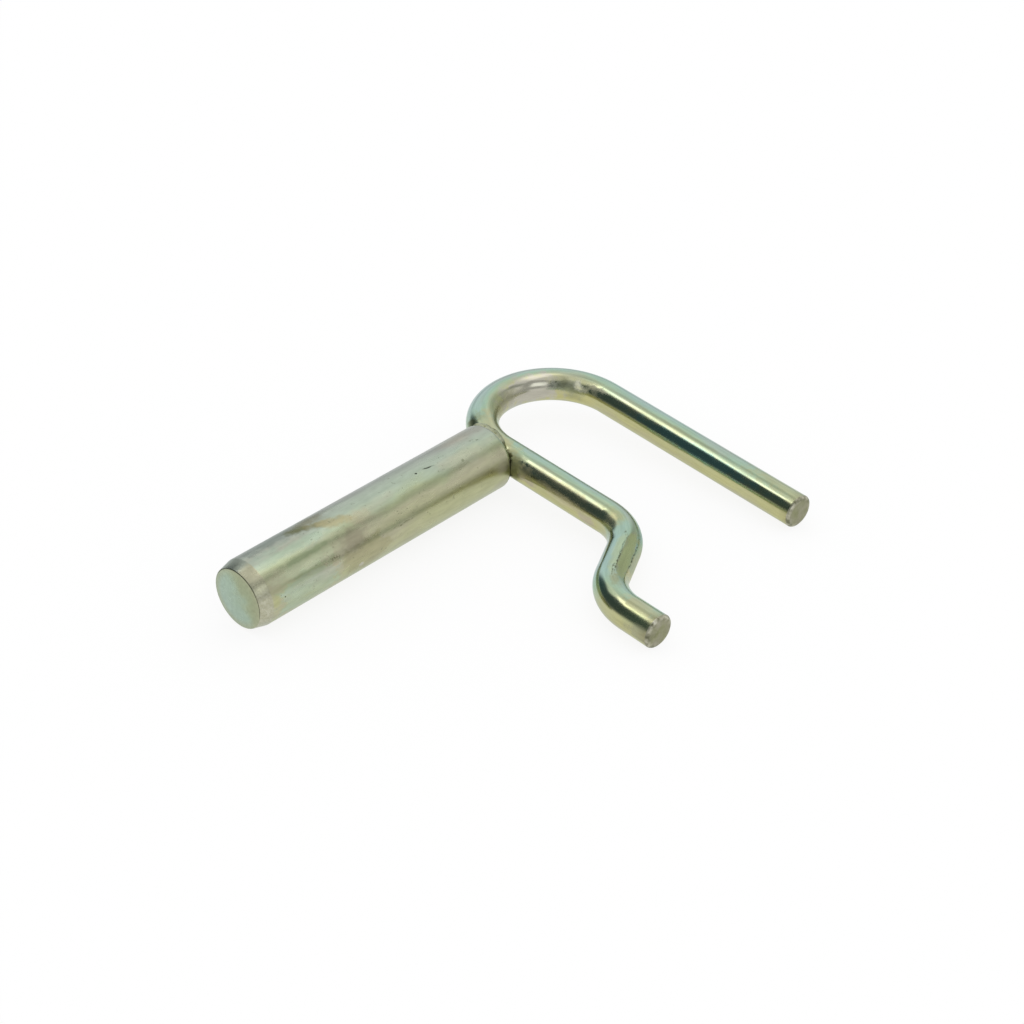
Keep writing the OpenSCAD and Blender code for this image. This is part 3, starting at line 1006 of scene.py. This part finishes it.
def lathe(name, outline, sides):
    """A closed mesh that turns an outline of radius and place about the Y axis."""
    shape = bmesh.new()
    rings = []
    for radius, y in outline:
        if radius == 0.0:
            rings.append([shape.verts.new((0.0, y, 0.0))] * sides)
            continue
        turns = (2 * math.pi * k / sides for k in range(sides))
        rings.append([shape.verts.new((radius * math.sin(t), y, radius * math.cos(t))) for t in turns])
    for lower, upper in zip(rings, rings[1:]):
        for k in range(sides):
            corners = [lower[k - 1], lower[k], upper[k], upper[k - 1]]
            shape.faces.new(list(dict.fromkeys(corners)))
    bmesh.ops.recalc_face_normals(shape, faces=shape.faces)
    mesh = bpy.data.meshes.new(name)
    shape.to_mesh(mesh)
    shape.free()
    return mesh


ROUNDED_FROM = math.radians(10.0)
ROUNDING_STEPS = 3
PIN_CREASE = math.radians(30.0)


class LYNCHPIN_OT_pin(bpy.types.Operator):
    """Turns the pin and beds it on the handle's rod"""

    bl_idname = "lynchpin.pin"
    bl_label = "Pin"

    def execute(self, context):
        pin = context.scene.lynch_pin
        outline = [
            (0.0, pin.end_face),
            (pin.radius - pin.break_depth, pin.end_face),
            (pin.radius, pin.end_face - pin.break_length),
            (pin.radius, pin.tip + pin.lead_length),
            (pin.radius - pin.lead_depth, pin.tip),
            (0.0, pin.tip),
        ]
        piece = new_object("pin_bar", lathe("pin_bar", outline, pin.sides))
        piece.data.materials.append(satin_zinc(pin, context.scene.lynch_finish))
        edge = piece.modifiers.new("edge_round", "BEVEL")
        edge.width = pin.edge_round
        edge.segments = ROUNDING_STEPS
        edge.limit_method = "ANGLE"
        edge.angle_limit = ROUNDED_FROM
        seat = piece.modifiers.new("seat", "BOOLEAN")
        seat.object = bpy.data.objects["handle_rod"]
        seat.material_mode = "TRANSFER"
        as_plain_mesh(piece)
        shade_by_angle(piece.data, PIN_CREASE)
        dress(piece, "pin")
        return {"FINISHED"}


# The weld's settings that its node tree takes
WELD_SIZES = ("bead", "run", "middle", "unevenness", "run_out", "climb", "sink")
# Turn from one ripple's swelling to the next, so that no two look alike
RIPPLE_PHASE = math.radians(137.0)
RIPPLE_SUBDIVISIONS = 4
SETTLING, SETTLING_STEPS = 0.5, 12
WELD_CREASE = math.radians(60.0)


def weld_tree(values):
    """Two rows of overlapping ripples, above and below the rod."""
    tree = new_tree("weld_ripples", values)
    graph = Graph(tree)
    size = graph.add("NodeGroupInput").outputs
    ripple = graph.geometry("MeshIcoSphere", {"Subdivisions": RIPPLE_SUBDIVISIONS})
    index = graph.geometry("InputIndex")
    last = graph.minus(size["Ripples"], 1.0)
    swing = graph.math("SINE", graph.times(index, RIPPLE_PHASE))
    swell = graph.plus(1.0, graph.times(swing, size["Unevenness"]))
    off_middle = graph.remap(index, 0.0, last, -1.0, 1.0)
    swell = graph.minus(swell, graph.times(graph.times(off_middle, off_middle), size["Run Out"]))
    scale = graph.times(graph.over(size["Bead"], 2.0), swell)
    gap, climb, sink = (graph.over(size[name], last) for name in ("Run", "Climb", "Sink"))
    first = graph.minus(size["Middle"], graph.over(size["Run"], 2.0))
    join = graph.add("GeometryNodeJoinGeometry")
    for side in (1.0, -1.0):
        start = graph.combine(first, size["Across"], graph.times(size["Height"], side))
        step = graph.combine(gap, graph.times(sink, -1.0), graph.times(climb, side))
        inputs = {"Count": size["Ripples"], "Start Location": start, "Offset": step}
        row = graph.geometry("MeshLine", inputs, mode="OFFSET")
        beads = graph.geometry("InstanceOnPoints", {"Points": row, "Instance": ripple, "Scale": scale})
        graph.feed(join.inputs[0], beads)
    finish_tree(graph, size, join.outputs[0])
    return tree


class LYNCHPIN_OT_weld(bpy.types.Operator):
    """Lays the rippled fillet welds in the corners between the rod and the pin"""

    bl_idname = "lynchpin.weld"
    bl_label = "Weld"

    def execute(self, context):
        weld = context.scene.lynch_weld
        rod = context.scene.lynch_handle
        rod_radius = rod.rod_diameter / 2
        below_rod = rod_radius - rod.seat_depth - weld.off_face
        material = weld_zinc(context.scene.lynch_finish)
        values = as_inputs(weld, WELD_SIZES)
        values["Ripples"] = round(weld.run / weld.pitch) + 1
        values["Across"] = context.scene.lynch_pin.end_face + weld.off_face
        values["Height"] = math.sqrt((rod_radius + weld.off_rod) ** 2 - below_rod ** 2)
        values["Lie"] = rod.lie
        values["Material"] = material
        piece = new_object("weld_beads", bpy.data.meshes.new("weld_beads"))
        node_modifier(piece, weld_tree(values), values)
        melt = piece.modifiers.new("melt", "REMESH")
        melt.mode = "VOXEL"
        melt.voxel_size = weld.voxel
        settle = piece.modifiers.new("settle", "SMOOTH")
        settle.factor = SETTLING
        settle.iterations = SETTLING_STEPS
        as_plain_mesh(piece)
        piece.data.materials.clear()
        piece.data.materials.append(material)
        shade_by_angle(piece.data, WELD_CREASE)
        dress(piece, "weld")
        return {"FINISHED"}


def direction(azimuth, elevation):
    """The way from the part to something round it, with azimuth 0 in front."""
    level = math.cos(elevation)
    return Vector((math.sin(azimuth) * level, -math.cos(azimuth) * level, math.sin(elevation)))


def add_camera(stage):
    """The camera at the photograph's angle."""
    back = direction(stage.azimuth, stage.elevation)
    level = Vector((math.cos(stage.azimuth), math.sin(stage.azimuth), 0.0))
    axes = Matrix((level, back.cross(level), back)).transposed().to_4x4()
    data = bpy.data.cameras.new("camera")
    data.lens = stage.lens
    data.shift_x, data.shift_y = stage.shift
    camera = new_object("camera", data)
    spot = Matrix.Translation(Vector(stage.target) + back * stage.distance)
    camera.matrix_world = spot @ axes @ Matrix.Rotation(stage.roll, 4, "Z")
    bpy.context.scene.camera = camera


def add_table(stage):
    """The white table that the part lies on."""
    half = stage.table_size / 2
    low = CAD_BOX[0][2]
    corners = [(-half, -half, low), (half, -half, low), (half, half, low), (-half, half, low)]
    mesh = bpy.data.meshes.new("table")
    mesh.from_pydata(corners, [], [(0, 1, 2, 3)])
    mesh.materials.append(table_white(stage.table_glow))
    new_object("table", mesh)


# Cards round the part: name, azimuths, elevations, fades (sides, bottom, top), distance and level
CARDS = (
    ("dark_room", (-104.0, 66.0), (-3.0, 57.0), (9.0, 17.0, 5.0), 3.00, (0.062, 0.092, 0.105)),
    ("key_strip", (-102.0, -45.0), (55.4, 63.2), (9.0, 2.4, 2.4), 2.60, (3.0, 3.0, 2.95)),
    ("key_turn", (-112.0, -74.0), (37.0, 56.0), (8.0, 7.0, 4.0), 2.65, (1.20, 1.20, 1.14)),
    ("key_gap", (-142.0, -108.0), (48.0, 72.0), (12.0, 8.0, 8.0), 2.90, (0.74, 0.76, 0.74)),
    ("top_panel", (105.0, 222.0), (57.0, 84.0), (20.0, 9.0, 8.0), 2.75, (1.70, 1.66, 1.60)),
    ("side_gap", (62.0, 120.0), (0.0, 60.0), (9.0, 8.0, 6.0), 2.90, (0.54, 0.55, 0.54)),
    ("front_paper", (-20.0, 28.0), (-2.0, 18.0), (9.0, 5.0, 6.0), 2.80, (0.80, 0.80, 0.78)),
    ("side_window", (62.0, 100.0), (17.0, 46.0), (9.0, 7.0, 7.0), 2.70, (1.65, 1.70, 1.72)),
    ("grey_gap", (110.0, 163.0), (33.0, 51.0), (14.0, 7.0, 6.0), 2.80, (0.46, 0.49, 0.45)),
    ("low_gap", (92.0, 145.0), (-4.0, 9.0), (14.0, 4.0, 5.0), 2.80, (0.54, 0.56, 0.52)),
    ("back_wall", (150.0, 262.0), (-6.0, 18.0), (15.0, 4.0, 14.0), 3.10, (0.70, 0.72, 0.72)),
    ("back_gap", (142.0, 202.0), (-6.0, 48.0), (16.0, 4.0, 14.0), 2.95, (0.57, 0.60, 0.56)),
)
CARD_GRID = (48, 24)


def add_card(centre, name, azimuths, elevations, soft, distance, level):
    """A curved card that shows only in the metal, so that it has light and dark to mirror."""
    columns, rows = CARD_GRID
    points, shades = [], []
    for i in range(columns + 1):
        for k in range(rows + 1):
            turn = azimuths[0] + (azimuths[1] - azimuths[0]) * i / columns
            climb = elevations[0] + (elevations[1] - elevations[0]) * k / rows
            points.append(centre + distance * direction(math.radians(turn), math.radians(climb)))
            inside = (
                min(turn - azimuths[0], azimuths[1] - turn) / soft[0],
                (climb - elevations[0]) / soft[1],
                (elevations[1] - climb) / soft[2],
            )
            edges = [min(max(value, 0.0), 1.0) for value in inside]
            shades.append(math.prod(value * value * (3 - 2 * value) for value in edges))
    faces = []
    for i in range(columns):
        for k in range(rows):
            corner = i * (rows + 1) + k
            faces.append((corner, corner + 1, corner + rows + 2, corner + rows + 1))
    mesh = bpy.data.meshes.new(name)
    mesh.from_pydata(points, [], faces)
    mesh.attributes.new("shade", "FLOAT", "POINT").data.foreach_set("value", shades)
    mesh.materials.append(card_light(name, level))
    card = new_object(name, mesh)
    card.visible_camera = False
    card.visible_diffuse = False
    card.visible_shadow = False
    card.visible_transmission = False


class LYNCHPIN_OT_stage(bpy.types.Operator):
    """Sets up the camera, the white table and the studio's cards"""

    bl_idname = "lynchpin.stage"
    bl_label = "Stage"

    def execute(self, context):
        stage = context.scene.lynch_stage
        context.scene.view_settings.view_transform = "Standard"
        add_camera(stage)
        add_table(stage)
        context.scene.world = room_light(stage.ambient)
        for card in CARDS:
            add_card(Vector(stage.target), *card)
        return {"FINISHED"}


OPERATORS = (LYNCHPIN_OT_stage, LYNCHPIN_OT_handle, LYNCHPIN_OT_pin, LYNCHPIN_OT_weld)


class LYNCHPIN_PT_panel(bpy.types.Panel):
    """Lists the pieces and the stage"""

    bl_label = "Lynch Pin"
    bl_space_type = "VIEW_3D"
    bl_region_type = "UI"
    bl_category = "Lynch Pin"

    def draw(self, context):
        for operator in OPERATORS:
            self.layout.operator(operator.bl_idname)


SETTINGS = {
    "lynch_pin": PinSettings,
    "lynch_handle": HandleSettings,
    "lynch_weld": WeldSettings,
    "lynch_finish": FinishSettings,
    "lynch_stage": StageSettings,
}
CLASSES = (*SETTINGS.values(), *OPERATORS, LYNCHPIN_PT_panel)


def register():
    for each in CLASSES:
        bpy.utils.register_class(each)
    for name, group in SETTINGS.items():
        setattr(bpy.types.Scene, name, PointerProperty(type=group))


def unregister():
    for name in SETTINGS:
        delattr(bpy.types.Scene, name)
    for each in reversed(CLASSES):
        bpy.utils.unregister_class(each)


def main():
    register()
    bpy.ops.lynchpin.stage()
    bpy.ops.lynchpin.handle()
    bpy.ops.lynchpin.pin()
    bpy.ops.lynchpin.weld()


if __name__ == "__main__":
    main()
